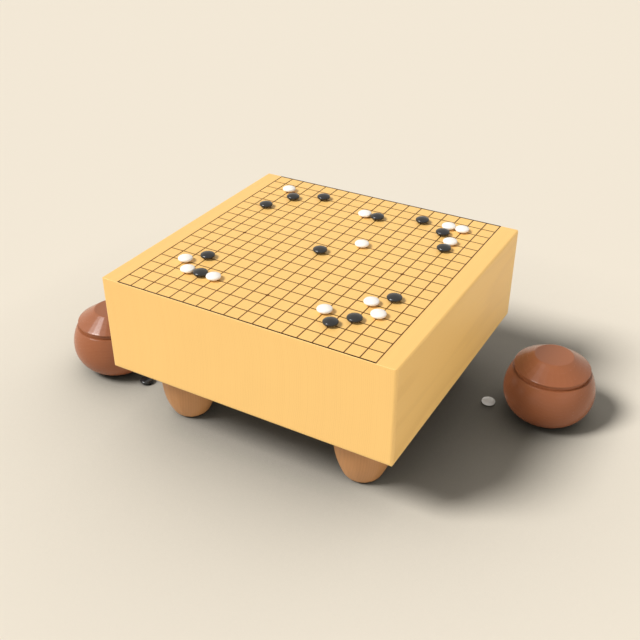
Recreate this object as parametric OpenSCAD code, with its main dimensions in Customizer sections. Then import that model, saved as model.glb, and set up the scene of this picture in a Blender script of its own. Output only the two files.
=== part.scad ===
// Go set for two players: a thick floor board on four turned legs, with a game
// laid out on it and a lidded bowl of stones standing on either side.
// Millimetres. The origin is on the floor under the middle of the board, +Z is up
// and the near player sits at -Y.

/* [Board] */
// Distance between lines, left to right
pitch_x = 22; // [20:0.5:26]
// Distance between lines, front to back
pitch_y = 23.7; // [22:0.1:28]
// From the outer line to the left or right face
side_margin = 29.5; // [15:0.5:60]
// From the outer line to the front or back face
end_margin = 1.9; // [1.9:0.1:40]
// Thickness of the block
board_t = 150; // [100:1:220]
// Rounding of the four upright edges
upright_r = 5; // [2:0.5:12]
// Rounding of the top edges along the left and right faces
side_edge_r = 3.5; // [1:0.5:10]
// Rounding of the top edges along the front and back faces, beside the outer lines
end_edge_r = 0.8; // [0.3:0.1:0.8]
// Rounding of the four bottom edges
bottom_edge_r = 5; // [1:0.5:10]

/* [Lines] */
// Width of a line
line_w = 1.5; // [0.6:0.1:2.2]
// Width of the two outer lines along the front and back faces
end_line_w = 2.2; // [0.6:0.1:2.2]
// Height of the lacquer above the wood
line_h = 0.3; // [0.15:0.05:0.6]
// Diameter of a star point
star_d = 5.2; // [3:0.1:7]
// Gap between a star point and the lines that end at it
star_gap = 0.05; // [0.02:0.01:0.1]

/* [Navel under the board] */
// Width of the square recess
navel_w = 110; // [60:5:150]
// Depth of the recess at its sides
navel_depth = 22; // [10:1:40]
// Height of the low pyramid left standing in the recess
navel_rise = 9; // [3:1:9]

/* [Legs] */
// Height of a leg below the board
leg_h = 98; // [90:1:110]
// From the left or right face of the board to the axis of a leg
leg_side_inset = 78; // [60:1:95]
// From the front or back face of the board to the axis of a leg
leg_end_inset = 76.2; // [60:0.2:95]
// Largest radius of a leg
leg_r = 42.5; // [38:0.5:48]
// Height of the widest place above the floor
leg_belly = 60.8; // [54:0.2:66]
// Radius of the long curve of a leg's side
leg_curve = 115.6; // [105:0.2:125]
// Radius of the rounding at the foot
foot_curve = 13.6; // [10:0.2:18]
// How much of that rounding is planed off flat
foot_cut = 0.8; // [0.4:0.1:2]
// Radius of the tenon
tenon_r = 17; // [10:0.5:22]
// Length of the tenon
tenon_len = 40; // [20:1:60]
// Radial clearance of a tenon in its mortise
tenon_clear = 0.1; // [0.05:0.05:0.3]
// Room left above a tenon
mortise_room = 2; // [1:0.5:5]
// Chamfer on a tenon's end
tenon_chamfer = 2; // [1:0.5:4]

/* [Stones] */
// Room between stones on neighbouring points
stone_gap = 0.8; // [0.4:0.1:3]
// Thickness of a stone
stone_t = 8.8; // [7:0.1:11]
// Rounding of a stone's edge
stone_edge = 2.4; // [1:0.1:2.5]
// Room under a stone that lies on the lines
stone_seat = 0.15; // [0.05:0.05:0.3]
// Room between the side of the black bowl and the black stone beside it on the floor
black_loose_gap = 0.8; // [0.8:0.1:20]
// Direction from the black bowl to that stone, in degrees from +X
black_loose_angle = -16.6; // [-60:0.2:40]
// Room between the side of the white bowl and the white stone beside it on the floor
white_loose_gap = 8.2; // [0.8:0.1:20]
// Direction from the white bowl to that stone, in degrees from +X
white_loose_angle = 195; // [160:0.2:220]

/* [Bowls] */
// Room between the side of the board and the side of a bowl
bowl_gap = 35; // [30:0.2:120]
// How far the right bowl stands behind the middle of the board
right_bowl_y = 123; // [60:0.2:140]
// How far the left bowl stands in front of the middle of the board
left_bowl_y = 98.2; // [30:0.2:140]
// Largest radius of a bowl
bowl_r = 68.3; // [64:0.1:74]
// Height of the widest place
bowl_belly = 45.5; // [43:0.5:46]
// Height of the rim
bowl_h = 80.5; // [78:0.5:86]
// Radius of the curve below the widest place
bowl_lower = 47.7; // [47:0.1:60]
// Radius of the curve above the widest place
bowl_upper = 67.4; // [62:0.1:75]
// Thickness of the wall
bowl_wall = 7; // [5:0.5:8]
// Thickness of the bottom
bowl_floor = 8; // [6:0.5:12]
// Radius of the mouth
mouth_r = 51; // [48:0.5:53]
// Layers of stones left in a bowl
heap_layers = 5; // [3:1:6]
// Room between the stones of a heap, and between heap and bowl
heap_gap = 0.3; // [0.2:0.05:0.6]

/* [Lids] */
// Outer radius of a lid
lid_r = 56.5; // [54.5:0.5:58]
// Height of a lid's edge, with the groove under it
lid_edge_h = 7.8; // [6:0.2:12]
// Height of the thin lip above the groove
lid_lip_h = 1.6; // [1:0.2:3]
// Depth of the groove that fingers lift the lid by
lid_groove = 1.5; // [0.5:0.1:2.5]
// Radius of the flat top
lid_top_r = 28.7; // [20:0.1:36]
// Height of the sloping part
lid_slope_h = 18.5; // [12:0.5:28]
// Thickness of the lid
lid_wall = 6; // [4:0.5:6.5]
// Depth of the ring that sits inside the mouth
spigot_h = 5; // [3:0.5:7]
// Thickness of that ring
spigot_wall = 5.5; // [3:0.5:7]
// Radial clearance of the ring in the mouth
spigot_clear = 0.5; // [0.3:0.1:1]
// Room between lid and rim
lid_seat = 0.1; // [0.05:0.05:0.3]

/* [Hidden] */
$fn = 64;
// How far a cutting shape reaches past the face that it cuts
over = 1;
lines = 19;
mid_line = (lines - 1) / 2;
span_x = (lines - 1) * pitch_x;
span_y = (lines - 1) * pitch_y;
board_w = span_x + 2 * side_margin;
board_d = span_y + 2 * end_margin;
top_z = leg_h + board_t;
leg_x = board_w / 2 - leg_side_inset;
leg_y = board_d / 2 - leg_end_inset;
bowl_x = board_w / 2 + bowl_gap + bowl_r;
black_bowl_at = [-bowl_x, -left_bowl_y];
white_bowl_at = [bowl_x, right_bowl_y];

// The nine star points are the crossings of these three lines each way
star_lines = [3, 9, 15];
// Moves played so far: line from the left, then line from the front, both from 0
black_points = [[3, 15], [5, 16], [2, 13], [10, 15], [13, 16], [15, 15], [16, 13],
                [9, 9], [3, 5], [4, 3], [14, 2], [15, 3], [16, 6]];
white_points = [[2, 16], [9, 15], [11, 11], [15, 16], [16, 16], [16, 14], [2, 4],
                [3, 3], [5, 3], [13, 3], [15, 5], [16, 4]];
// Lines from the left have letters, without i, and lines from the front have numbers from 1
letters = "abcdefghjklmnopqrst";
function stone_name(side, p) = str(side, "_stone_", letters[p[0]], p[1] + 1);

honey_wood = [0.95, 0.76, 0.46];
brown_wood = [0.62, 0.42, 0.25];
red_wood = [0.52, 0.30, 0.20];
lacquer = [0.16, 0.10, 0.06];
slate = [0.10, 0.11, 0.12];
shell = [0.94, 0.93, 0.90];
function stone_colour(side) = side == "black" ? slate : shell;

// A leg's side is one long arc that runs into a smaller arc at the foot
foot_z = foot_curve - foot_cut;
foot_x = leg_r - leg_curve + sqrt((leg_curve - foot_curve) ^ 2 - (leg_belly - foot_z) ^ 2);
leg_join_z = leg_belly + leg_curve * (foot_z - leg_belly) / (leg_curve - foot_curve);

// A stone's two caps are spherical and run into the rounding of its edge
stone_d = pitch_x - stone_gap;
edge_x = stone_d / 2 - stone_edge;
cap_r = (edge_x ^ 2 + (stone_t / 2) ^ 2 - stone_edge ^ 2) / (stone_t - 2 * stone_edge);
cap_x = edge_x * cap_r / (cap_r - stone_edge);

// A bowl's side is two arcs that meet at the widest place, and its inside follows them
lower_x = bowl_r - bowl_lower;
upper_x = bowl_r - bowl_upper;
lid_z = bowl_h + lid_seat;
lid_edge_z = lid_z + lid_edge_h;
lid_top_z = lid_edge_z + lid_slope_h;
spigot_r = mouth_r - spigot_clear;
lid_hollow_r = spigot_r - spigot_wall;
lid_lean = (lid_r - lid_top_r) / lid_slope_h;
// Inside the lid the slope starts where it is one wall thickness from the outer slope
lid_hollow_z = lid_edge_z + (lid_r - lid_hollow_r - lid_wall * sqrt(1 + lid_lean ^ 2)) / lid_lean;
lid_hollow_top = lid_top_z - lid_wall;
lid_hollow_top_r = lid_hollow_r - lid_lean * (lid_hollow_top - lid_hollow_z);

// Stones in a bowl stand in upright columns, in rows left to right and front to back
heap_step = stone_d + heap_gap;
heap_rise = stone_t + heap_gap;
heap_reach = 2;
function heap_z(layer) = bowl_floor + heap_gap + stone_t / 2 + layer * heap_rise;
function inside_r(z, wall) = z < bowl_belly
    ? lower_x + sqrt((bowl_lower - wall) ^ 2 - (z - bowl_belly) ^ 2)
    : upper_x + sqrt((bowl_upper - wall) ^ 2 - (z - bowl_belly) ^ 2);
// A stone fits if its edge, and the round under its edge, stay clear of the wall
function heap_fits(spot, z) =
    norm(spot) + stone_d / 2 + heap_gap < inside_r(z, bowl_wall)
    && norm(spot) + cap_x + heap_gap < inside_r(z - stone_edge, bowl_wall)
    && norm(spot) + edge_x + heap_gap < inside_r(z - stone_t / 4, bowl_wall);
heap_spots = [for (i = [-heap_reach:heap_reach], j = [-heap_reach:heap_reach])
    [heap_step * i, heap_step * j]];

// Upper half of a rectangle about the middle, with its two corners rounded
module rounded_half(w, h, r) {
    translate([r - w / 2, -over])
        square([w - 2 * r, h / 2 + over]);
    translate([-w / 2, -over])
        square([w, h / 2 - r + over]);
    for (x = [-1, 1])
        translate([x * (w / 2 - r), h / 2 - r])
            circle(r);
}

module rounded_rectangle(w, h, upper_r, lower_r) {
    rounded_half(w, h, upper_r);
    rotate(180)
        rounded_half(w, h, lower_r);
}

// The block with its edges rounded: three outlines, pulled through along X, Y and Z
module rounded_block() {
    intersection() {
        linear_extrude(board_t + over, center = true)
            rounded_rectangle(board_w, board_d, upright_r, upright_r);
        rotate([90, 0, 0])
            linear_extrude(board_d + over, center = true)
                rounded_rectangle(board_w, board_t, side_edge_r, bottom_edge_r);
        rotate([90, 0, 90])
            linear_extrude(board_w + over, center = true)
                rounded_rectangle(board_d, board_t, end_edge_r, bottom_edge_r);
    }
}

// Square recess under the board, with a low pyramid left in the middle of its floor
module navel() {
    ridge = [[-navel_w / 2, navel_depth], [0, navel_depth - navel_rise], [navel_w / 2, navel_depth]];
    difference() {
        translate([-navel_w / 2, -navel_w / 2, -over])
            cube([navel_w, navel_w, navel_depth + over]);
        intersection() {
            rotate([90, 0, 0])
                linear_extrude(navel_w, center = true)
                    polygon(ridge);
            rotate([90, 0, 90])
                linear_extrude(navel_w, center = true)
                    polygon(ridge);
        }
    }
}

module board_block() {
    color(honey_wood)
        difference() {
            translate([0, 0, leg_h + board_t / 2])
                rounded_block();
            translate([0, 0, leg_h])
                navel();
            for (x = [-leg_x, leg_x], y = [-leg_y, leg_y])
                translate([x, y, leg_h - over])
                    cylinder(r = tenon_r + tenon_clear, h = tenon_len + mortise_room + over);
        }
}

// Width of a line that runs from side to side: the first and the last are broader
function cross_line_w(i) = i == 0 || i == lines - 1 ? end_line_w : line_w;

module line_pattern() {
    for (i = [0:lines - 1]) {
        translate([(i - mid_line) * pitch_x, 0])
            square([line_w, span_y + end_line_w], center = true);
        translate([0, (i - mid_line) * pitch_y])
            square([span_x + line_w, cross_line_w(i)], center = true);
    }
}

module on_star_points() {
    for (i = star_lines, j = star_lines)
        translate([(i - mid_line) * pitch_x, (j - mid_line) * pitch_y])
            children();
}

module grid_lines() {
    color(lacquer)
        translate([0, 0, top_z])
            linear_extrude(line_h)
                difference() {
                    line_pattern();
                    on_star_points()
                        circle(d = star_d + 2 * star_gap);
                }
}

module star_points() {
    color(lacquer)
        translate([0, 0, top_z])
            on_star_points()
                cylinder(d = star_d, h = line_h);
}

module leg_profile() {
    difference() {
        intersection() {
            translate([leg_r - leg_curve, leg_belly])
                circle(leg_curve, $fn = 180);
            translate([0, leg_join_z])
                square([leg_r + over, leg_h]);
        }
        translate([-over, leg_h])
            square([leg_r + 2 * over, leg_h]);
    }
    intersection() {
        union() {
            translate([foot_x, foot_z])
                circle(foot_curve);
            square([foot_x, foot_z]);
        }
        square([leg_r + over, leg_join_z]);
    }
}

// The tenon's root reaches down into the leg, because both are turned from one piece
module tenon_profile() {
    translate([0, leg_h])
        polygon([[0, -tenon_r], [tenon_r, -tenon_r], [tenon_r, tenon_len - tenon_chamfer],
                 [tenon_r - tenon_chamfer, tenon_len], [0, tenon_len]]);
}

// A turned leg like a bulb, with a round tenon that is driven into the board
module leg(x, y) {
    color(brown_wood)
        translate([x, y, 0])
            rotate_extrude() {
                leg_profile();
                tenon_profile();
            }
}

module stone_profile() {
    intersection() {
        translate([0, stone_t / 2 - cap_r])
            circle(cap_r);
        translate([0, cap_r - stone_t / 2])
            circle(cap_r);
        translate([0, -stone_t / 2])
            square([cap_x, stone_t]);
    }
    intersection() {
        translate([edge_x, 0])
            circle(stone_edge);
        translate([cap_x, -stone_t / 2])
            square([stone_d, stone_t]);
    }
}

module stone() {
    rotate_extrude()
        stone_profile();
}

module board_stone(side, p) {
    color(stone_colour(side))
        translate([(p[0] - mid_line) * pitch_x, (p[1] - mid_line) * pitch_y,
                   top_z + line_h + stone_seat + stone_t / 2])
            stone();
}

module loose_stone(side, bowl_at, gap, angle) {
    away = bowl_r + gap + stone_d / 2;
    color(stone_colour(side))
        translate([bowl_at[0] + away * cos(angle), bowl_at[1] + away * sin(angle), stone_t / 2])
            stone();
}

// What lies between the axis and an arc of a bowl's side, from height z0 to z1
module bowl_band(arc_x, arc_r, z0, z1) {
    intersection() {
        union() {
            translate([arc_x, bowl_belly])
                circle(arc_r);
            if (arc_x > 0)
                translate([0, bowl_belly - arc_r])
                    square([arc_x, 2 * arc_r]);
        }
        translate([0, z0])
            square([bowl_r + over, z1 - z0]);
    }
}

module bowl_profile(wall, z0) {
    bowl_band(lower_x, bowl_lower - wall, z0, bowl_belly);
    bowl_band(upper_x, bowl_upper - wall, bowl_belly, bowl_h);
}

module bowl(at) {
    color(red_wood)
        translate(at)
            rotate_extrude()
                difference() {
                    bowl_profile(0, 0);
                    bowl_profile(bowl_wall, bowl_floor);
                    translate([0, bowl_h - spigot_h])
                        square([mouth_r, spigot_h]);
                }
}

// A lid turned from one piece: flat top, straight slope, finger groove and spigot ring
module lid(at) {
    groove_r = lid_r - lid_groove;
    color(red_wood)
        translate(at)
            rotate_extrude()
                polygon([
                    [0, lid_top_z], [lid_top_r, lid_top_z],
                    [lid_r, lid_edge_z], [lid_r, lid_edge_z - lid_lip_h],
                    [groove_r, lid_edge_z - lid_lip_h], [groove_r, lid_z],
                    [spigot_r, lid_z], [spigot_r, lid_z - spigot_h],
                    [lid_hollow_r, lid_z - spigot_h], [lid_hollow_r, lid_hollow_z],
                    [lid_hollow_top_r, lid_hollow_top], [0, lid_hollow_top]
                ]);
}

// The stones left in a bowl, each one apart from its neighbours
module heap(side, at) {
    color(stone_colour(side))
        translate(at)
            for (layer = [0:heap_layers - 1], spot = heap_spots)
                if (heap_fits(spot, heap_z(layer)))
                    translate([spot[0], spot[1], heap_z(layer)])
                        stone();
}

board_block();
grid_lines();
star_points();
leg(-leg_x, -leg_y);  // leg_front_left
leg(leg_x, -leg_y);  // leg_front_right
leg(-leg_x, leg_y);  // leg_back_left
leg(leg_x, leg_y);  // leg_back_right
bowl(black_bowl_at);  // black_bowl
lid(black_bowl_at);  // black_bowl_lid
heap("black", black_bowl_at);  // black_bowl_stones
bowl(white_bowl_at);  // white_bowl
lid(white_bowl_at);  // white_bowl_lid
heap("white", white_bowl_at);  // white_bowl_stones
loose_stone("black", black_bowl_at, black_loose_gap, black_loose_angle);  // black_stone_loose
loose_stone("white", white_bowl_at, white_loose_gap, white_loose_angle);  // white_stone_loose
for (p = black_points)
    board_stone("black", p);
for (p = white_points)
    board_stone("white", p);
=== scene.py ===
import math

import bmesh
import bpy
import numpy as np
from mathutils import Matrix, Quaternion, Vector


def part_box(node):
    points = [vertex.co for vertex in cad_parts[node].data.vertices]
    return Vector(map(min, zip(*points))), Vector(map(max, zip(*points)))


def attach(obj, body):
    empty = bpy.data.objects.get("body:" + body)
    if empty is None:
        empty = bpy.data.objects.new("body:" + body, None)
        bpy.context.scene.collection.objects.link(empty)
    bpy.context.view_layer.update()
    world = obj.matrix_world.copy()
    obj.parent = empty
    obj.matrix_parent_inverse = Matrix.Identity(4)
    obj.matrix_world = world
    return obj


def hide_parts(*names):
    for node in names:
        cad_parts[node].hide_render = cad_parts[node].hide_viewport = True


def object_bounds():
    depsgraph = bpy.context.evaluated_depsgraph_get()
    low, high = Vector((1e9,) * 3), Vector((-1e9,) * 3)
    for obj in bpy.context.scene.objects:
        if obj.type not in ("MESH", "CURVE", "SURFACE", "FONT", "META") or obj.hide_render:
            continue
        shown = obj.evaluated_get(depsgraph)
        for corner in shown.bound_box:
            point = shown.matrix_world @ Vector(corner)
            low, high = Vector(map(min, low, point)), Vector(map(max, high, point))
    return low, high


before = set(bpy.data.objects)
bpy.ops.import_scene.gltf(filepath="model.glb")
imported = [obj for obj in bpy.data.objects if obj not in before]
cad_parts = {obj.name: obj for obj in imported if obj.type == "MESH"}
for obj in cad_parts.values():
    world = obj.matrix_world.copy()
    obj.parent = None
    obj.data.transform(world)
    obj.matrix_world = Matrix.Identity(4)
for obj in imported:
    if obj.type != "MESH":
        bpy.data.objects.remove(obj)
cad_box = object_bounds()


# Camera. The set is seen from the near player's right, a step back from the board and
# from about the eye height of a kneeling player, through a plain 50 mm lens.
view_azimuth = math.radians(29.75)
view_elevation = math.radians(31.80)
view_distance = 1.353
view_target = Vector((0.0013, -0.0025, 0.1340))
lens_length = 50
sensor_width = 36
view_back = Vector((math.sin(view_azimuth) * math.cos(view_elevation),
                    -math.cos(view_azimuth) * math.cos(view_elevation),
                    math.sin(view_elevation)))
camera_data = bpy.data.cameras.new("camera")
camera_data.lens = lens_length
camera_data.sensor_width = sensor_width
camera = bpy.data.objects.new("camera", camera_data)
camera.location = view_target + view_back * view_distance
camera.rotation_euler = view_back.to_track_quat("Z", "Y").to_euler()
bpy.context.scene.collection.objects.link(camera)
bpy.context.scene.camera = camera
bpy.context.scene.view_settings.view_transform = "Standard"


# Floor. A plain pale sheet that runs far past the edges of the picture. Its colour carries painted
# shade: it is painted darker where the set hems it in, by ambient occlusion, and what it sends back
# to the set is weaker than what the camera sees, so shadows stay deep and neutral.
floor_half = 9.0
floor_seen = (0.840, 0.758, 0.630, 1)
# Painted shade: the dark colour that ambient occlusion mixes into the floor near the set, and its
# reach.
floor_painted_shade = (0.085, 0.083, 0.080, 1)
floor_painted_shade_reach = 0.45
floor_bounce = (0.70, 0.67, 0.63, 1)


class Field:
    """A number that changes over a surface or along a shape. Arithmetic adds nodes to its tree."""

    def __init__(self, socket):
        self.socket = socket
        self.tree = socket.id_data

    def math(self, operation, *others):
        node = self.tree.nodes.new("ShaderNodeMath")
        node.operation = operation
        for entry, value in zip(node.inputs, (self, *others)):
            if isinstance(value, Field):
                self.tree.links.new(value.socket, entry)
            else:
                entry.default_value = value
        return Field(node.outputs[0])

    def __add__(self, other):
        return self.math("ADD", other)

    def __sub__(self, other):
        return self.math("SUBTRACT", other)

    def __rsub__(self, other):
        return self.math("MULTIPLY_ADD", -1.0, other)

    def __mul__(self, other):
        return self.math("MULTIPLY", other)

    def __truediv__(self, other):
        return self.math("DIVIDE", other)

    def __pow__(self, other):
        return self.math("POWER", other)


def new_material(name):
    """An empty material with its Principled shader, as (material, tree, shader)."""
    material = bpy.data.materials.new(name)
    material.use_nodes = True
    tree = material.node_tree
    return material, tree, tree.nodes["Principled BSDF"]


def mixed(tree, share, first, second):
    """Colour between first and second, each a colour or a socket, as share goes from 0 to 1."""
    node = tree.nodes.new("ShaderNodeMix")
    node.data_type = "RGBA"
    tree.links.new(share.socket, node.inputs["Factor"])
    for entry, colour in zip((node.inputs[6], node.inputs[7]), (first, second)):
        if isinstance(colour, bpy.types.NodeSocket):
            tree.links.new(colour, entry)
        else:
            entry.default_value = colour
    return node.outputs[2]


def seen_directly(tree):
    """1 for rays from the camera and for reflections, 0 for light that bounces."""
    path = tree.nodes.new("ShaderNodeLightPath")
    camera_ray, glossy_ray, glass_ray = (
        Field(path.outputs[kind])
        for kind in ("Is Camera Ray", "Is Glossy Ray", "Is Transmission Ray"))
    return camera_ray.math("MAXIMUM", glossy_ray).math("MAXIMUM", glass_ray)


def make_floor():
    material, tree, shader = new_material("floor")
    shader.inputs["Roughness"].default_value = 1.0
    shader.inputs["Specular IOR Level"].default_value = 0.0
    # Painted shade: ambient occlusion darkens the floor's colour near the set.
    shade_occlusion = tree.nodes.new("ShaderNodeAmbientOcclusion")
    shade_occlusion.inputs["Distance"].default_value = floor_painted_shade_reach
    seen = mixed(tree, Field(shade_occlusion.outputs["AO"]), floor_painted_shade, floor_seen)
    colour = mixed(tree, seen_directly(tree), floor_bounce, seen)
    tree.links.new(colour, shader.inputs["Base Color"])
    mesh = bpy.data.meshes.new("floor")
    height = cad_box[0].z
    corners = [(-1, -1), (1, -1), (1, 1), (-1, 1)]
    spots = [(x * floor_half, y * floor_half, height) for x, y in corners]
    mesh.from_pydata(spots, [], [(0, 1, 2, 3)])
    mesh.materials.append(material)
    floor = bpy.data.objects.new("floor", mesh)
    bpy.context.scene.collection.objects.link(floor)
    return floor


floor = make_floor()


# Light. A soft key lamp high at the front left throws the set's shadow to the back right, and a
# broad lamp above the back softens it. Two low lamps, which leave the floor alone, light the
# near faces from the right and the small pieces from the left. Only the key lamp glints.
key_towards = Vector((-0.4726, -0.4644, 0.7490))
key_strength = 1.135 * math.pi
key_angle = math.radians(20)
back_towards = Vector((0.0160, 0.6426, 0.7660))
back_strength = 0.15 * math.pi
back_angle = math.radians(94)
fill_towards = Vector((0.890, -0.420, 0.165))
fill_strength = 0.54 * math.pi
fill_angle = math.radians(50)
side_towards = Vector((-0.975, -0.120, 0.185))
side_strength = 0.57 * math.pi
side_angle = math.radians(60)
sky_seen = (0.95, 0.90, 0.82, 1)
sky_fill = (0.101, 0.102, 0.102, 1)


def make_lamp(name, towards, strength, angle, glints=False, shadows=True):
    data = bpy.data.lights.new(name, "SUN")
    data.energy = strength
    data.angle = angle
    data.use_shadow = shadows
    lamp = bpy.data.objects.new(name, data)
    lamp.rotation_euler = towards.to_track_quat("Z", "Y").to_euler()
    lamp.visible_glossy = glints
    bpy.context.scene.collection.objects.link(lamp)
    return lamp


def keep_off(lamp, *things):
    """The lamp lights everything but the things."""
    spared = bpy.data.collections.new(lamp.name + "_spares")
    for thing in things:
        spared.objects.link(thing)
    for entry in spared.collection_objects:
        entry.light_linking.link_state = "EXCLUDE"
    lamp.light_linking.receiver_collection = spared


def make_sky():
    world = bpy.data.worlds.new("sky")
    world.use_nodes = True
    background = world.node_tree.nodes["Background"]
    colour = mixed(world.node_tree, seen_directly(world.node_tree), sky_fill, sky_seen)
    world.node_tree.links.new(colour, background.inputs["Color"])
    bpy.context.scene.world = world


make_lamp("key_lamp", key_towards, key_strength, key_angle, glints=True)
make_lamp("back_lamp", back_towards, back_strength, back_angle)
keep_off(make_lamp("fill_lamp", fill_towards, fill_strength, fill_angle), floor)
keep_off(make_lamp("side_lamp", side_towards, side_strength, side_angle, shadows=False),
         floor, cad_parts["board_block"])
make_sky()


# Board. One thick block of honey-coloured straight-grained wood, planed and waxed. It was
# sawn beside the heart of the trunk, so its rings run from front to back as fine straight
# lines on top, stand as shallow arcs on the front and spread out as broad figure on the sides.
board_early = (0.910, 0.552, 0.172, 1)
board_late = (0.843, 0.490, 0.143, 1)
board_heart = Vector((-0.62, 0.17))
ripple_share = 0.10
ring_rise = 2.5
ring_fall = 7.0
year_spread = 0.6
late_smooth = 0.06
late_height = 0.5
fibre_height = 0.0002
brightness_weights = (0.21, 0.72, 0.07)
bounce_gain = 0.65
bounce_least = 0.2
facing_up = 0.5


def noise(tree, place, per_metre, along=1.0, detail=2.0):
    """Smooth random number about 0.5 over place, a vector socket. Along under 1 draws it out on Z."""
    pull = tree.nodes.new("ShaderNodeVectorMath")
    pull.operation = "MULTIPLY"
    pull.inputs[1].default_value = (1, 1, along)
    tree.links.new(place, pull.inputs[0])
    cloud = tree.nodes.new("ShaderNodeTexNoise")
    cloud.inputs["Scale"].default_value = per_metre
    cloud.inputs["Detail"].default_value = detail
    tree.links.new(pull.outputs[0], cloud.inputs["Vector"])
    return Field(cloud.outputs[0])


def make_wood_grain():
    """Shader group for any wood: Place is in metres from the heart, with the fibres along Z."""
    group = bpy.data.node_groups.new("wood_grain", "ShaderNodeTree")
    group.interface.new_socket("Place", in_out="INPUT", socket_type="NodeSocketVector")
    for name, value in (("Ring Width", 0.002), ("Sway", 0.006)):
        socket = group.interface.new_socket(name, in_out="INPUT", socket_type="NodeSocketFloat")
        socket.default_value = value
    for name in ("Late Wood", "Fibre", "Cloud"):
        group.interface.new_socket(name, in_out="OUTPUT", socket_type="NodeSocketFloat")
    given = group.nodes.new("NodeGroupInput").outputs
    result = group.nodes.new("NodeGroupOutput").inputs
    place = given["Place"]
    axes = group.nodes.new("ShaderNodeSeparateXYZ")
    group.links.new(place, axes.inputs[0])
    across, deep = Field(axes.outputs[0]), Field(axes.outputs[1])
    sway = noise(group, place, per_metre=5.0, along=0.25) - 0.5
    ripple = noise(group, place, per_metre=45.0, along=0.12) - 0.5
    distance = (across * across + deep * deep).math("SQRT")
    distance = distance + (sway + ripple * ripple_share) * Field(given["Sway"])
    ring = distance / Field(given["Ring Width"])
    part = ring.math("FRACT")
    year = group.nodes.new("ShaderNodeTexWhiteNoise")
    year.noise_dimensions = "1D"
    group.links.new(ring.math("FLOOR").socket, year.inputs["W"])
    rise = part ** ring_rise
    fall = ((1 - part) * ring_fall).math("MINIMUM", 1.0)
    late = rise * fall * (Field(year.outputs["Value"]) * year_spread + (1 - year_spread))
    fibre = noise(group, place, per_metre=900.0, along=0.02, detail=3.0)
    cloud = noise(group, place, per_metre=7.0, along=0.35, detail=3.0)
    for name, field in (("Late Wood", late), ("Fibre", fibre), ("Cloud", cloud)):
        group.links.new(field.socket, result[name])
    return group


wood_grain = make_wood_grain()


def plain_bounce(colour):
    """About as bright as the colour, dark ones a little brighter, and in the tint of the sky."""
    bright = sum(weight * part for weight, part in zip(brightness_weights, colour))
    level = bounce_gain * bright + bounce_least
    return (*(level * tint for tint in sky_seen[:3]), 1)


def bounce_share(tree):
    """1 for light that bounces off a face that looks sideways or down, 0 for all other rays."""
    bounced = Field(tree.nodes.new("ShaderNodeLightPath").outputs["Is Diffuse Ray"])
    axes = tree.nodes.new("ShaderNodeSeparateXYZ")
    tree.links.new(tree.nodes.new("ShaderNodeNewGeometry").outputs["Normal"], axes.inputs[0])
    return bounced * Field(axes.outputs["Z"]).math("LESS_THAN", facing_up)


def make_wood(name, early, late, heart, turn, ring_width, sway, tone, relief, rough):
    """Wood with its heart at a place and its fibres turned. Tone scales what fibre and cloud do to
    the shade, and fibre to the roughness, and relief scales the bump of the fibres."""
    material, tree, shader = new_material(name)
    position = tree.nodes.new("ShaderNodeTexCoord").outputs["Object"]
    mapping = tree.nodes.new("ShaderNodeMapping")
    mapping.vector_type = "TEXTURE"
    mapping.inputs["Location"].default_value = heart
    mapping.inputs["Rotation"].default_value = turn
    tree.links.new(position, mapping.inputs["Vector"])
    grain = tree.nodes.new("ShaderNodeGroup")
    grain.node_tree = wood_grain
    grain.inputs["Ring Width"].default_value = ring_width
    grain.inputs["Sway"].default_value = sway
    tree.links.new(mapping.outputs[0], grain.inputs["Place"])
    late_wood = Field(grain.outputs["Late Wood"])
    fibre = Field(grain.outputs["Fibre"])
    cloud = Field(grain.outputs["Cloud"])
    shade = tree.nodes.new("ShaderNodeHueSaturation")
    value = (fibre - 0.5) * tone[0] + (cloud - 0.5) * tone[1] + 1.0
    tree.links.new(value.socket, shade.inputs["Value"])
    tree.links.new(mixed(tree, late_wood, early, late), shade.inputs["Color"])
    tree.links.new(mixed(tree, bounce_share(tree), shade.outputs[0], plain_bounce(early)),
                   shader.inputs["Base Color"])
    roughness = (fibre - 0.5) * tone[0] - late_wood * late_smooth + rough
    tree.links.new(roughness.socket, shader.inputs["Roughness"])
    bump = tree.nodes.new("ShaderNodeBump")
    bump.inputs["Strength"].default_value = relief
    bump.inputs["Distance"].default_value = fibre_height
    tree.links.new((fibre + late_wood * late_height).socket, bump.inputs["Height"])
    tree.links.new(bump.outputs[0], shader.inputs["Normal"])
    return material, shader


def dress(node, material):
    """Gives a CAD node that keeps its shape its finished material."""
    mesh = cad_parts[node].data
    mesh.materials.clear()
    mesh.materials.append(material)


board_wood, _ = make_wood(
    "board_wood", board_early, board_late,
    heart=(board_heart.x, 0, board_heart.y), turn=(math.radians(90), 0, 0),
    ring_width=0.0026, sway=0.020, tone=(0.07, 0.06), relief=0.2, rough=0.46)
dress("board_block", board_wood)


# Lines and star points. Black-brown lacquer laid along a ruler on the finished top, where
# each line dries as a low ridge. The outer lines along the front and back are broader and
# darker, and nine round dots of the same lacquer mark the star points.
line_count = 19
end_lines = 2
lines_low, lines_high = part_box("grid_lines")
line_width = 0.0015
end_line_width = 0.0022
line_pitch = (lines_high - lines_low - Vector((line_width, end_line_width, 0))) / (line_count - 1)
line_height = lines_high.z - lines_low.z
line_edge_fall = 0.4
line_points = 9
lacquer_dark = (0.085, 0.032, 0.008, 1)
lacquer_light = (0.150, 0.058, 0.014, 1)
end_lacquer_dark = (0.020, 0.009, 0.004, 1)
end_lacquer_light = (0.045, 0.019, 0.007, 1)
lacquer_rough = 0.35
lacquer_rough_spread = 0.25
lacquer_shine = 0.05
star_row = 3
star_every = 6
star_reach = (star_row - 1) * star_every
star_low, star_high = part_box("star_points")
star_diameter = star_high.x - star_low.x - star_reach * line_pitch.x
star_over_line = 1.1
star_round = 0.6
star_sides = 40
star_rings = 16


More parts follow.
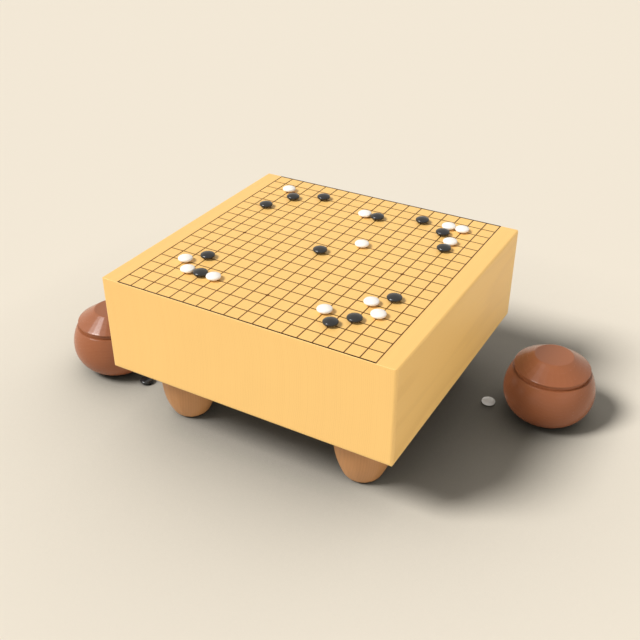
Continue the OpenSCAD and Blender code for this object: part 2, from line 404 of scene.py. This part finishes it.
def new_tree(name, sizes):
    """Geometry tree with a named input for each size, as (tree, inputs by name, result socket)."""
    tree = bpy.data.node_groups.new(name, "GeometryNodeTree")
    tree.interface.new_socket("Geometry", in_out="INPUT", socket_type="NodeSocketGeometry")
    tree.interface.new_socket("Geometry", in_out="OUTPUT", socket_type="NodeSocketGeometry")
    for label, kind in sizes.items():
        tree.interface.new_socket(label, in_out="INPUT", socket_type="NodeSocket" + kind)
    given = tree.nodes.new("NodeGroupInput").outputs
    result = tree.nodes.new("NodeGroupOutput").inputs["Geometry"]
    return tree, given, result


def add(tree, kind, settings=None, **links):
    """New node with its properties set and its named inputs linked or given a value."""
    node = tree.nodes.new(kind)
    for label, value in (settings or {}).items():
        setattr(node, label, value)
    for label, value in links.items():
        entry = node.inputs[label.replace("_", " ")]
        if isinstance(value, Field):
            value = value.socket
        if isinstance(value, bpy.types.NodeSocket):
            tree.links.new(value, entry)
        else:
            entry.default_value = value
    return node


def finish_tree(tree, geometry, material, result):
    """Ends a tree with plain mesh in one material."""
    real = add(tree, "GeometryNodeRealizeInstances", Geometry=geometry)
    done = add(tree, "GeometryNodeSetMaterial", Geometry=real.outputs[0], Material=material)
    tree.links.new(done.outputs[0], result)


def grown(name, tree, values, start=None):
    """Object at the origin whose plain mesh is what the tree makes of the values."""
    piece = bpy.data.objects.new(name, start or bpy.data.meshes.new(name))
    bpy.context.scene.collection.objects.link(piece)
    modifier = piece.modifiers.new(name, "NODES")
    modifier.node_group = tree
    for item in tree.interface.items_tree:
        if item.in_out == "INPUT" and item.name in values:
            modifier[item.identifier] = values[item.name]
    scene_state = bpy.context.evaluated_depsgraph_get()
    made = bpy.data.meshes.new_from_object(
        piece.evaluated_get(scene_state), preserve_all_data_layers=True, depsgraph=scene_state)
    piece.modifiers.remove(modifier)
    piece.data = made
    made.name = name
    for face in made.polygons:
        face.use_smooth = True
    return piece


def stand_in(piece, node, body):
    """The piece stands for a CAD node, which it hides, and moves with its body."""
    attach(piece, body)
    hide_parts(node)


def make_line_tree():
    """Parallel ridges from front to back, turned about the middle of the board."""
    tree, given, result = new_tree("lacquer_lines", {
        "Lines": "Int", "Pitch": "Float", "Length": "Float", "Width": "Float",
        "Height": "Float", "Turn": "Float", "Place": "Vector", "Material": "Material"})
    size = add(tree, "ShaderNodeCombineXYZ", X=1.0, Y=given["Length"], Z=given["Height"])
    bar = add(tree, "GeometryNodeMeshCube", Size=size.outputs[0], Vertices_X=line_points)
    axes = add(tree, "ShaderNodeSeparateXYZ",
               Vector=tree.nodes.new("GeometryNodeInputPosition").outputs[0])
    across, up = Field(axes.outputs["X"]), Field(axes.outputs["Z"])
    on_top = up.math("GREATER_THAN", 0.0)
    fall = across * across * (-4 * line_edge_fall) * on_top * Field(given["Height"])
    drop = add(tree, "ShaderNodeCombineXYZ", Z=fall)
    ridge = add(tree, "GeometryNodeSetPosition", Geometry=bar.outputs["Mesh"],
                Offset=drop.outputs[0])
    step = add(tree, "ShaderNodeCombineXYZ", X=given["Pitch"])
    row = add(tree, "GeometryNodeMeshLine", Count=given["Lines"], Offset=step.outputs[0])
    girth = add(tree, "ShaderNodeCombineXYZ", X=given["Width"], Y=1.0, Z=1.0)
    copies = add(tree, "GeometryNodeInstanceOnPoints", Points=row.outputs[0],
                 Instance=ridge.outputs[0], Scale=girth.outputs[0])
    reach = (Field(given["Lines"]) - 1) * Field(given["Pitch"])
    half = add(tree, "ShaderNodeCombineXYZ", X=reach * -0.5)
    centred = add(tree, "GeometryNodeTransform", Geometry=copies.outputs[0],
                  Translation=half.outputs[0])
    turned_by = add(tree, "ShaderNodeCombineXYZ", Z=given["Turn"])
    placed = add(tree, "GeometryNodeTransform", Geometry=centred.outputs[0],
                 Translation=given["Place"], Rotation=turned_by.outputs[0])
    finish_tree(tree, placed.outputs[0], given["Material"], result)
    return tree


def make_star_tree():
    """Round drops of lacquer on a square of points."""
    tree, given, result = new_tree("star_points", {
        "Points": "Int", "Reach X": "Float", "Reach Y": "Float", "Diameter": "Float",
        "Height": "Float", "Place": "Vector", "Material": "Material"})
    ball = add(tree, "GeometryNodeMeshUVSphere", Segments=star_sides, Rings=star_rings, Radius=1.0)
    axes = add(tree, "ShaderNodeSeparateXYZ",
               Vector=tree.nodes.new("GeometryNodeInputPosition").outputs[0])
    upper = Field(axes.outputs["Z"]).math("MAXIMUM", 0.0) ** star_round
    low = add(tree, "ShaderNodeCombineXYZ", X=axes.outputs["X"], Y=axes.outputs["Y"], Z=upper)
    drop = add(tree, "GeometryNodeSetPosition", Geometry=ball.outputs["Mesh"],
               Position=low.outputs[0])
    grid = add(tree, "GeometryNodeMeshGrid", Size_X=given["Reach X"], Size_Y=given["Reach Y"],
               Vertices_X=given["Points"], Vertices_Y=given["Points"])
    radius = Field(given["Diameter"]) * 0.5
    size = add(tree, "ShaderNodeCombineXYZ", X=radius, Y=radius, Z=given["Height"])
    copies = add(tree, "GeometryNodeInstanceOnPoints", Points=grid.outputs["Mesh"],
                 Instance=drop.outputs[0], Scale=size.outputs[0])
    placed = add(tree, "GeometryNodeTransform", Geometry=copies.outputs[0],
                 Translation=given["Place"])
    finish_tree(tree, placed.outputs[0], given["Material"], result)
    return tree


def make_lacquer(name, dark, light):
    material, tree, shader = new_material(name)
    position = tree.nodes.new("ShaderNodeTexCoord").outputs["Object"]
    patch = noise(tree, position, per_metre=160.0)
    tree.links.new(mixed(tree, patch, dark, light), shader.inputs["Base Color"])
    roughness = patch * lacquer_rough_spread + lacquer_rough
    tree.links.new(roughness.socket, shader.inputs["Roughness"])
    shader.inputs["Specular IOR Level"].default_value = lacquer_shine
    return material


line_lacquer = make_lacquer("line_lacquer", lacquer_dark, lacquer_light)
end_lacquer = make_lacquer("end_line_lacquer", end_lacquer_dark, end_lacquer_light)
line_tree = make_line_tree()
line_middle = (lines_low + lines_high) / 2
line_reach = lines_high - lines_low
for name, count, pitch, length, width, turn, finish in (
        ("lines_front_to_back", line_count, line_pitch.x, line_reach.y,
         line_width, 0, line_lacquer),
        ("lines_side_to_side", line_count - end_lines, line_pitch.y, line_reach.x,
         line_width, 90, line_lacquer),
        ("lines_front_and_back", end_lines, line_pitch.y * (line_count - 1), line_reach.x,
         end_line_width, 90, end_lacquer)):
    lines = grown(name, line_tree, {
        "Lines": count, "Pitch": pitch, "Length": length, "Width": width, "Height": line_height,
        "Turn": math.radians(turn), "Place": line_middle, "Material": finish})
    stand_in(lines, "grid_lines", "board")
stars = grown("star_points_drops", make_star_tree(), {
    "Points": star_row, "Reach X": star_reach * line_pitch.x, "Reach Y": star_reach * line_pitch.y,
    "Diameter": star_diameter, "Height": line_height * star_over_line,
    "Place": Vector((0, 0, star_low.z)), "Material": line_lacquer})
stand_in(stars, "star_points", "board")


# Legs. Four bulbs turned from a darker brown wood with upright fibres, each on a round
# tenon that is driven into the block. A knife has gone over the turned side, and left it
# in faint upright flats.
leg_curve = 0.1156
leg_foot_curve = 0.0136
leg_foot_cut = 0.0008
leg_belly = 0.0608
leg_sides = 128
leg_flats = 16
leg_flat_depth = 0.6
leg_heart = (0.090, 0.070)
leg_turn = 70
leg_early = (0.468, 0.216, 0.075, 1)
leg_late = (0.390, 0.174, 0.057, 1)


def arc(middle, radius, start, end, steps):
    """Points of an outline along a circle, from one angle to another, in degrees."""
    angles = [math.radians(start + (end - start) * step / steps) for step in range(steps + 1)]
    return [(middle[0] + radius * math.cos(a), middle[1] + radius * math.sin(a)) for a in angles]


def turned(name, outline, centre, sides, cut=None):
    """Closed piece turned about an upright axis. The outline runs from axis to axis as (radius,
    height), and cut gives the share of the radius that is left at an angle and height."""
    shape = bmesh.new()
    rings = []
    for radius, height in outline:
        spots = sides if radius > 0 else 1
        ring = []
        for spot in range(spots):
            angle = 2 * math.pi * spot / sides
            out = radius * (cut(angle, height) if cut else 1.0)
            ring.append(shape.verts.new((centre.x + out * math.cos(angle),
                                         centre.y + out * math.sin(angle), height)))
        rings.append(ring)
    for low, high in zip(rings, rings[1:]):
        for spot in range(sides):
            corners = [low[spot % len(low)], low[(spot + 1) % len(low)],
                       high[(spot + 1) % len(high)], high[spot % len(high)]]
            shape.faces.new(list(dict.fromkeys(corners)))
    bmesh.ops.recalc_face_normals(shape, faces=shape.faces)
    mesh = bpy.data.meshes.new(name)
    shape.to_mesh(mesh)
    shape.free()
    for face in mesh.polygons:
        face.use_smooth = True
    piece = bpy.data.objects.new(name, mesh)
    bpy.context.scene.collection.objects.link(piece)
    return piece


def flat_cut(count, depth_share):
    """Share of the radius left by count upright flats, where depth_share 1 cuts full flats."""
    def cut(angle, height):
        step = 2 * math.pi / count
        off = (angle + step / 2) % step - step / 2
        full = math.cos(step / 2) / math.cos(off)
        return 1 - (1 - full) * depth_share
    return cut


def leg_outline(radius, height):
    """Flat foot, small round, long belly curve and flat shoulder."""
    foot_z = leg_foot_curve - leg_foot_cut
    reach = leg_curve - leg_foot_curve
    foot_x = radius - leg_curve + math.sqrt(reach ** 2 - (leg_belly - foot_z) ** 2)
    join = math.degrees(math.asin((foot_z - leg_belly) / reach))
    flat = math.degrees(math.asin(-foot_z / leg_foot_curve))
    shoulder = math.degrees(math.asin((height - leg_belly) / leg_curve))
    foot = arc((foot_x, foot_z), leg_foot_curve, flat, join, steps=14)
    side = arc((radius - leg_curve, leg_belly), leg_curve, join, shoulder, steps=60)
    sole, seat = foot[0][0], side[-1][0]
    return [(0, 0), (sole / 2, 0), *foot, *side[1:], (seat / 2, height), (0, height)]


under_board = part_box("board_block")[0].z
leg_nodes = ("leg_front_left", "leg_front_right", "leg_back_left", "leg_back_right")
for number, node in enumerate(leg_nodes):
    low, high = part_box(node)
    centre = (low + high) / 2
    wood, _ = make_wood(
        "leg_wood_" + node.removeprefix("leg_"), leg_early, leg_late,
        heart=(centre.x + leg_heart[0], centre.y + leg_heart[1], 0),
        turn=(0, 0, math.radians(leg_turn * number)),
        ring_width=0.0035, sway=0.010, tone=(0.10, 0.12), relief=0.12, rough=0.45)
    leg = turned(node + "_bulb", leg_outline((high.x - low.x) / 2, under_board), centre,
                 leg_sides, flat_cut(leg_flats, leg_flat_depth))
    leg.data.materials.append(wood)
    stand_in(leg, node, "board")


# Stones. Lenses with a rounded edge: the black ones ground from slate, oiled to a soft shine,
# the white ones cut from thick clam shell, with its growth lines as faint arcs. Each lies
# loose on a crossing of the lines, and one of each colour lies on the floor.
stone_edge = 0.0024
stone_rings = 40
stone_sides = 56
cap_share = 0.72
pole_radius = 1e-6
golden_angle = 137.5
slate_dark = (0.008, 0.008, 0.009, 1)
slate_light = (0.019, 0.019, 0.020, 1)
slate_rough = 0.12
mottle_share = 0.7
mottle_rough = 0.08
speck_rough = 0.12
speck_relief = 0.12
speck_height = 0.0001
shell_white = (0.87, 0.82, 0.755, 1)
shell_line = (0.82, 0.765, 0.69, 1)
shell_rough = 0.24
shell_coat = 0.25
shell_coat_rough = 0.12
hinge_distance = 0.045
growth_pitch = 0.0011
growth_wander = 0.0016
growth_sharpness = 3
growth_depth = 1.2
growth_rough = 0.10


def make_stone_tree():
    """One lens at the origin: two round caps that run into the rounding of the edge."""
    tree, given, result = new_tree("lens_stone", {
        "Diameter": "Float", "Thickness": "Float", "Edge": "Float", "Sides": "Int", "Rings": "Int",
        "Turn": "Float", "Place": "Vector", "Material": "Material"})
    half, edge = Field(given["Thickness"]) * 0.5, Field(given["Edge"])
    edge_x = Field(given["Diameter"]) * 0.5 - edge
    cap = (edge_x * edge_x + half * half - edge * edge) / ((half - edge) * 2)
    reach = (edge_x / (cap - edge)).math("ARCSINE")
    ball = add(tree, "GeometryNodeMeshUVSphere", Segments=given["Sides"], Rings=given["Rings"],
               Radius=1.0)
    axes = add(tree, "ShaderNodeSeparateXYZ",
               Vector=tree.nodes.new("GeometryNodeInputPosition").outputs[0])
    x, y, z = (Field(axes.outputs[key]) for key in "XYZ")
    side = z.math("SIGN")
    run = z.math("ABSOLUTE").math("MINIMUM", 1.0).math("ARCCOSINE") / (math.pi / 2)
    on_cap = (run / cap_share).math("MINIMUM", 1.0) * reach
    on_edge = ((run - cap_share) / (1 - cap_share)).math("MAXIMUM", 0.0)
    on_edge = (math.pi / 2 - reach) * on_edge + reach
    past = run.math("GREATER_THAN", cap_share)
    cap_out, cap_up = on_cap.math("SINE") * cap, on_cap.math("COSINE") * cap - cap + half
    edge_out, edge_up = on_edge.math("SINE") * edge + edge_x, on_edge.math("COSINE") * edge
    out = cap_out * (1 - past) + edge_out * past
    up = cap_up * (1 - past) + edge_up * past
    away = (x * x + y * y).math("SQRT").math("MAXIMUM", pole_radius)
    spot = add(tree, "ShaderNodeCombineXYZ", X=x / away * out, Y=y / away * out, Z=up * side)
    lens = add(tree, "GeometryNodeSetPosition", Geometry=ball.outputs["Mesh"],
               Position=spot.outputs[0])
    here = tree.nodes.new("GeometryNodeInputPosition").outputs[0]
    marked = add(tree, "GeometryNodeStoreNamedAttribute",
                 {"data_type": "FLOAT_VECTOR", "domain": "POINT"},
                 Geometry=lens.outputs[0], Name="stone_place", Value=here)
    turned_by = add(tree, "ShaderNodeCombineXYZ", Z=given["Turn"])
    placed = add(tree, "GeometryNodeTransform", Geometry=marked.outputs[0],
                 Translation=given["Place"], Rotation=turned_by.outputs[0])
    finish_tree(tree, placed.outputs[0], given["Material"], result)
    return tree


def stone_place(tree):
    """Place within a stone, in metres from its middle, which turns with the stone."""
    node = tree.nodes.new("ShaderNodeAttribute")
    node.attribute_name = "stone_place"
    return node.outputs["Vector"]


def make_slate():
    material, tree, shader = new_material("black_slate")
    place = stone_place(tree)
    mottle = noise(tree, place, per_metre=260.0, detail=4.0)
    speck = noise(tree, place, per_metre=2600.0)
    shade = mottle * mottle_share + speck * (1 - mottle_share)
    tree.links.new(mixed(tree, shade, slate_dark, slate_light), shader.inputs["Base Color"])
    roughness = speck * speck_rough + mottle * mottle_rough + slate_rough
    tree.links.new(roughness.socket, shader.inputs["Roughness"])
    bump = add(tree, "ShaderNodeBump", Strength=speck_relief, Distance=speck_height, Height=speck)
    tree.links.new(bump.outputs[0], shader.inputs["Normal"])
    return material


def make_shell():
    material, tree, shader = new_material("white_shell")
    place = stone_place(tree)
    axes = add(tree, "ShaderNodeSeparateXYZ", Vector=place)
    x, y = Field(axes.outputs["X"]), Field(axes.outputs["Y"])
    beyond = y + hinge_distance
    from_hinge = (x * x + beyond * beyond).math("SQRT")
    wander = noise(tree, place, per_metre=90.0) * growth_wander
    line = ((from_hinge + wander) / growth_pitch).math("FRACT")
    growth = (line - 0.5).math("ABSOLUTE") * 2
    growth = growth ** growth_sharpness * (noise(tree, place, per_metre=140.0) * growth_depth)
    tree.links.new(mixed(tree, growth, shell_white, shell_line), shader.inputs["Base Color"])
    roughness = growth * growth_rough + shell_rough
    tree.links.new(roughness.socket, shader.inputs["Roughness"])
    shader.inputs["Coat Weight"].default_value = shell_coat
    shader.inputs["Coat Roughness"].default_value = shell_coat_rough
    return material


stone_tree = make_stone_tree()
stone_finish = {"black": (make_slate(), "black_slate"), "white": (make_shell(), "white_shell")}
stone_nodes = sorted(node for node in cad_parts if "_stone_" in node)
for number, node in enumerate(stone_nodes):
    low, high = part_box(node)
    finish, slot = stone_finish[node.split("_")[0]]
    stone = grown(node + "_lens", stone_tree, {
        "Diameter": high.x - low.x, "Thickness": high.z - low.z, "Edge": stone_edge,
        "Sides": stone_sides, "Rings": stone_rings, "Turn": math.radians(golden_angle * number % 360),
        "Place": (low + high) / 2, "Material": finish})
    stand_in(stone, node, node)


# Bowls. Round jars turned from one block of reddish-brown wood and polished, with a plain
# rim. The inside follows the outside, and each bowl keeps the stones of one player.
bowl_belly = 0.0455
bowl_lower = 0.0477
bowl_upper = 0.0674
bowl_wall = 0.0070
bowl_floor = 0.0080
mouth_radius = 0.0510
mouth_depth = 0.0050
edge_ease = 0.0009
ease_steps = 4
ease_share = 0.45
nearly_straight = math.radians(160)
bowl_early = (0.282, 0.093, 0.037, 1)
bowl_late = (0.262, 0.085, 0.034, 1)
bowl_heart_depth = 0.035
bowl_shine = 0.33
bowl_sides = 192
bowl_turns = {"black": 35, "white": -60}


def eased(corners, ease, step=0.0025):
    """Outline through the corners with the sharp ones softened, and no stretch longer than step."""
    points = [Vector(corner) for corner in corners]
    path = [points[0]]
    for before, corner, after in zip(points, points[1:], points[2:]):
        back, on = before - corner, after - corner
        if back.angle(on) > nearly_straight:
            path.append(corner)
            continue
        start = corner + back.normalized() * min(ease, back.length * ease_share)
        end = corner + on.normalized() * min(ease, on.length * ease_share)
        for number in range(ease_steps + 1):
            share = number / ease_steps
            path.append(start.lerp(corner, share).lerp(corner.lerp(end, share), share))
    path.append(points[-1])
    fine = [path[0]]
    for low, high in zip(path, path[1:]):
        parts = max(1, math.ceil((high - low).length / step))
        fine += [low.lerp(high, part / parts) for part in range(1, parts + 1)]
    return [tuple(point) for point in fine]


def bowl_outline(radius, height):
    """Up the outside, over the rim and down the inside."""
    lower, upper = (radius - bowl_lower, bowl_belly), (radius - bowl_upper, bowl_belly)
    foot = math.degrees(math.asin(-bowl_belly / bowl_lower))
    rim = math.degrees(math.asin((height - bowl_belly) / bowl_upper))
    inner_low, inner_high = bowl_lower - bowl_wall, bowl_upper - bowl_wall
    mouth = math.degrees(math.acos((mouth_radius - upper[0]) / inner_high))
    bottom = math.degrees(math.asin((bowl_floor - bowl_belly) / inner_low))
    outside = (arc(lower, bowl_lower, foot, 0, steps=40)
               + arc(upper, bowl_upper, 0, rim, steps=24)[1:])
    inside = (arc(upper, inner_high, mouth, 0, steps=22)
              + arc(lower, inner_low, 0, bottom, steps=34)[1:])
    return eased([(0, 0), *outside, (mouth_radius, height), *inside, (0, bowl_floor)], edge_ease)


def make_bowl_wood(name, centre, turn):
    """Polished wood with its fibres lying level across the bowl."""
    wood, shader = make_wood(
        name, bowl_early, bowl_late, heart=(centre.x, centre.y, -bowl_heart_depth),
        turn=(math.radians(90), 0, math.radians(turn)),
        ring_width=0.0050, sway=0.022, tone=(0.03, 0.12), relief=0.01, rough=0.27)
    shader.inputs["Specular IOR Level"].default_value = bowl_shine
    return wood


bowl_wood = {}
for side, turn in bowl_turns.items():
    low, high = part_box(side + "_bowl")
    centre = (low + high) / 2
    bowl_wood[side] = make_bowl_wood("bowl_wood_" + side, centre, turn)
    outline = bowl_outline((high.x - low.x) / 2, high.z)
    bowl = turned(side + "_bowl_jar", outline, centre, bowl_sides)
    bowl.data.materials.append(bowl_wood[side])
    stand_in(bowl, side + "_bowl", side + "_bowl")


# Lids. Each is turned from the same wood as its bowl: a flat top, a long slope cut in narrow
# flats, and a groove under the lip to lift it by. A ring under the lid sits in the mouth.
lid_flats = 32
lid_top_radius = 0.0287
lid_slope_height = 0.0185
lid_lip_height = 0.0016
lid_groove_depth = 0.0015
lid_wall = 0.0060
spigot_clear = 0.0005
spigot_wall = 0.0055


def lid_outline(radius, low_z, top_z):
    """From the middle of the hollow, down its side, round the ring and up over the outside."""
    lid_z = low_z + mouth_depth
    edge_z = top_z - lid_slope_height
    groove = radius - lid_groove_depth
    spigot = mouth_radius - spigot_clear
    hollow = spigot - spigot_wall
    lean = (radius - lid_top_radius) / lid_slope_height
    hollow_z = edge_z + (radius - hollow - lid_wall * math.hypot(1, lean)) / lean
    hollow_top = top_z - lid_wall
    hollow_top_radius = hollow - lean * (hollow_top - hollow_z)
    return eased([
        (0, hollow_top), (hollow_top_radius, hollow_top), (hollow, hollow_z), (hollow, low_z),
        (spigot, low_z), (spigot, lid_z), (groove, lid_z), (groove, edge_z - lid_lip_height),
        (radius, edge_z - lid_lip_height), (radius, edge_z), (lid_top_radius, top_z), (0, top_z)],
        edge_ease)


def slope_cut(edge_z):
    """Flats on the slope alone, running out at the lip."""
    flats = flat_cut(lid_flats, depth_share=1.0)

    def cut(angle, height):
        return flats(angle, height) if height > edge_z else 1.0
    return cut


for side in bowl_turns:
    node = side + "_bowl_lid"
    low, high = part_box(node)
    outline = lid_outline((high.x - low.x) / 2, low.z, high.z)
    lid = turned(node + "_cover", outline, (low + high) / 2, bowl_sides,
                 slope_cut(high.z - lid_slope_height))
    lid.data.materials.append(bowl_wood[side])
    stand_in(lid, node, node)


# Stones in the bowls. The stones not yet played lie heaped in their bowl as they were
# dropped in, each one settled on those below it.
heap_count = 96
heap_gap = 0.0003
heap_cell = 0.0010
heap_wall_gap = 0.0020
heap_lean = 0.22
heap_drops = heap_count * 6
heap_tries = 12
heap_stone_sides = 20
heap_stone_rings = 10


def lens_height(reach, diameter, thickness):
    """Half thickness of a stone at a distance from its middle, by the caps alone."""
    cap = (diameter ** 2 / 4 + thickness ** 2 / 4) / thickness
    return np.sqrt(np.maximum(cap ** 2 - reach ** 2, 0)) - cap + thickness / 2


def drop_stones(seed, radius, heap_top, diameter, thickness):
    """Places and turns of stones dropped one by one into a bowl that stands at the origin."""
    draw = np.random.default_rng(seed)
    half = int(radius / heap_cell)
    steps = (np.arange(2 * half + 1) - half) * heap_cell
    grid_x, grid_y = np.meshgrid(steps, steps, indexing="ij")
    from_axis = np.hypot(grid_x, grid_y)
    inner, start = bowl_lower - bowl_wall, radius - bowl_lower
    dish = bowl_belly - np.sqrt(np.maximum(inner ** 2 - np.maximum(from_axis - start, 0) ** 2, 0))
    ground = np.maximum(dish, bowl_floor)
    places, turns = [], []
    for _ in range(heap_drops):
        best = None
        for _ in range(heap_tries):
            away = (start + inner - diameter / 2 - heap_wall_gap) * math.sqrt(draw.random())
            angle = draw.random() * 2 * math.pi
            x, y = away * math.cos(angle), away * math.sin(angle)
            near = np.hypot(grid_x - x, grid_y - y)
            under = near < diameter / 2
            fit_x, fit_y, _ = np.linalg.lstsq(
                np.c_[grid_x[under] - x, grid_y[under] - y, np.ones(under.sum())],
                ground[under], rcond=None)[0]
            fit_x, fit_y = np.clip((fit_x, fit_y), -heap_lean, heap_lean)
            lean = fit_x * (grid_x[under] - x) + fit_y * (grid_y[under] - y)
            body = lens_height(near[under], diameter, thickness)
            height = (ground[under] - lean + body).max() + heap_gap
            if best is None or height < best[0]:
                best = (height, x, y, fit_x, fit_y, under, lean + body)
        height, x, y, fit_x, fit_y, under, top = best
        if height + thickness > heap_top:
            continue
        ground[under] = np.maximum(ground[under], height + top)
        places.append((x, y, height))
        spin = Quaternion((0, 0, 1), draw.random() * 2 * math.pi)
        turns.append((Vector((-fit_x, -fit_y, 1)).to_track_quat("Z", "Y") @ spin).to_euler())
        if len(places) == heap_count:
            break
    return places, turns


def make_heap_tree():
    """A stone on each point, turned as the point says."""
    tree, given, result = new_tree("stone_heap", {
        "Diameter": "Float", "Thickness": "Float", "Edge": "Float", "Sides": "Int", "Rings": "Int",
        "Material": "Material"})
    lens = add(tree, "GeometryNodeGroup", {"node_tree": stone_tree},
               Diameter=given["Diameter"], Thickness=given["Thickness"], Edge=given["Edge"],
               Sides=given["Sides"], Rings=given["Rings"], Material=given["Material"])
    turn = add(tree, "GeometryNodeInputNamedAttribute", {"data_type": "FLOAT_VECTOR"}, Name="turn")
    copies = add(tree, "GeometryNodeInstanceOnPoints", Points=given["Geometry"],
                 Instance=lens.outputs[0], Rotation=turn.outputs["Attribute"])
    finish_tree(tree, copies.outputs[0], given["Material"], result)
    return tree


heap_tree = make_heap_tree()
for seed, side in enumerate(bowl_turns):
    low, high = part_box(side + "_bowl")
    stone_low, stone_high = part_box(side + "_stone_loose")
    size = stone_high - stone_low
    centre = (low + high) / 2
    heap_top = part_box(side + "_bowl_stones")[1].z
    places, turns = drop_stones(seed, (high.x - low.x) / 2, heap_top, size.x, size.z)
    points = bpy.data.meshes.new(side + "_heap_points")
    points.from_pydata([(x + centre.x, y + centre.y, z) for x, y, z in places], [], [])
    turn = points.attributes.new("turn", "FLOAT_VECTOR", "POINT")
    turn.data.foreach_set("vector", [angle for angles in turns for angle in angles])
    finish, slot = stone_finish[side]
    heap = grown(side + "_bowl_heap", heap_tree, {
        "Diameter": size.x, "Thickness": size.z, "Edge": stone_edge, "Sides": heap_stone_sides,
        "Rings": heap_stone_rings, "Material": finish}, points)
    stand_in(heap, side + "_bowl_stones", side + "_bowl")
